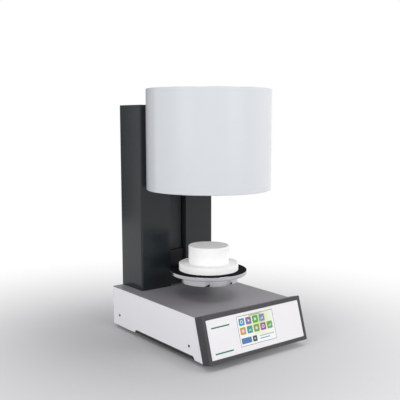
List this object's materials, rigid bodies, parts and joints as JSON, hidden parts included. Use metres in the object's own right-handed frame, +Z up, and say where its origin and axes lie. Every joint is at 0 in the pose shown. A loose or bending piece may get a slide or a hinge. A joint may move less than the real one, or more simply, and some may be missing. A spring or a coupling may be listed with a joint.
{
  "type": "dental lab furnace",
  "caption": "Bench-top dental furnace: a round muffle head on a column, a motor-driven lift table that closes it from below, and a touch panel in the base.",
  "frame": {"origin": "on the surface it stands on, under the middle of the whole furnace's bounding box", "axes": "+Z up, -Y towards the operator and the touch panel, +X to the operator's right"},
  "size_m": [0.3042, 0.4264, 0.6178],
  "materials": {
    "white_paint": "gloss",
    "grey_plate_paint": "satin",
    "column_paint": "gloss",
    "chassis_paint": "satin",
    "bezel_plastic": "satin",
    "fascia_plastic": "gloss",
    "screen_glass": "gloss",
    "black_plastic": "satin",
    "rubber": "matte",
    "fibre": "matte",
    "holder_ceramic": "matte",
    "seal_ceramic": "satin",
    "dish_steel": "satin",
    "sheet_steel": "satin",
    "ground_steel": "polished",
    "aluminium": "satin",
    "bronze": "satin",
    "circuit_board": "satin",
    "copper_winding": "satin",
    "element": "satin",
    "fastener": "satin"
  },
  "bodies": {
    "housing": {"chassis_tray": "chassis_paint", "side_panel_left": "white_paint", "side_panel_right": "white_paint", "top_plate": "grey_plate_paint", "rear_panel": "chassis_paint", "rubber_feet": "rubber", "panel_screws": "fastener", "front_bezel": "bezel_plastic", "fascia_panel": "fascia_plastic", "display_window": "screen_glass", "display_panel": "black_plastic", "display_clamp": "sheet_steel", "control_board": "circuit_board", "board_spacers": "bronze", "mains_transformer": "copper_winding", "transformer_clamp": "sheet_steel", "heat_sink": "aluminium", "power_relay": "black_plastic", "mains_inlet": "black_plastic", "inlet_pins": "ground_steel", "power_switch_body": "black_plastic", "fan_frame": "black_plastic", "fan_guard": "ground_steel", "column_frame": "sheet_steel", "column_cover": "column_paint", "column_cap": "column_paint", "column_rear_cover": "column_paint", "rear_screws": "fastener", "screw_bridge": "sheet_steel", "guide_rods": "ground_steel", "screw_bearings": "ground_steel", "lift_motor": "chassis_paint", "motor_bracket": "sheet_steel", "limit_switches": "black_plastic", "head_shell": "white_paint", "head_top_cover": "white_paint", "head_bottom_plate": "sheet_steel", "head_frame": "sheet_steel", "head_bolts": "fastener", "muffle_jacket": "sheet_steel", "insulation_mouth": "fibre", "insulation_wall": "fibre", "insulation_roof": "fibre", "heating_elements": "element", "element_holders": "holder_ceramic", "thermocouple": "holder_ceramic"},
    "lift_table": {"carriage": "aluminium", "carriage_bushes": "ground_steel", "lead_nut": "bronze", "lift_arm": "column_paint", "dish_screws": "fastener", "table_dish": "dish_steel", "seal_disc": "seal_ceramic", "pedestal_base": "fibre", "pedestal_plug": "fibre"},
    "lead_screw": {"lead_screw": "ground_steel", "shaft_coupling": "aluminium", "motor_shaft": "ground_steel"},
    "fan_rotor": {"fan_rotor": "black_plastic"},
    "power_rocker": {"power_rocker": "black_plastic"}
  },
  "joints": [
    {"name": "lift_slide", "type": "slide", "parent": "housing", "child": "lift_table", "axis": [0, 0, 1], "range_m": [0, 0.202]},
    {"name": "lead_screw_turn", "type": "hinge", "parent": "housing", "child": "lead_screw", "pos_m": [0, 0.16168, 0.31], "axis": [0, 0, 1], "range_deg": [-7273, 0]},
    {"name": "fan_spin", "type": "hinge", "parent": "housing", "child": "fan_rotor", "pos_m": [0.082, 0.19817, 0.0525], "axis": [0, 1, 0], "continuous": true},
    {"name": "rocker_tilt", "type": "hinge", "parent": "housing", "child": "power_rocker", "pos_m": [-0.108, 0.20417, 0.062], "axis": [1, 0, 0], "range_deg": [0, 18]}
  ],
  "couplings": [
    {"joint": "lead_screw_turn", "follows": "lift_slide", "rad_per_m": -628.32}
  ]
}
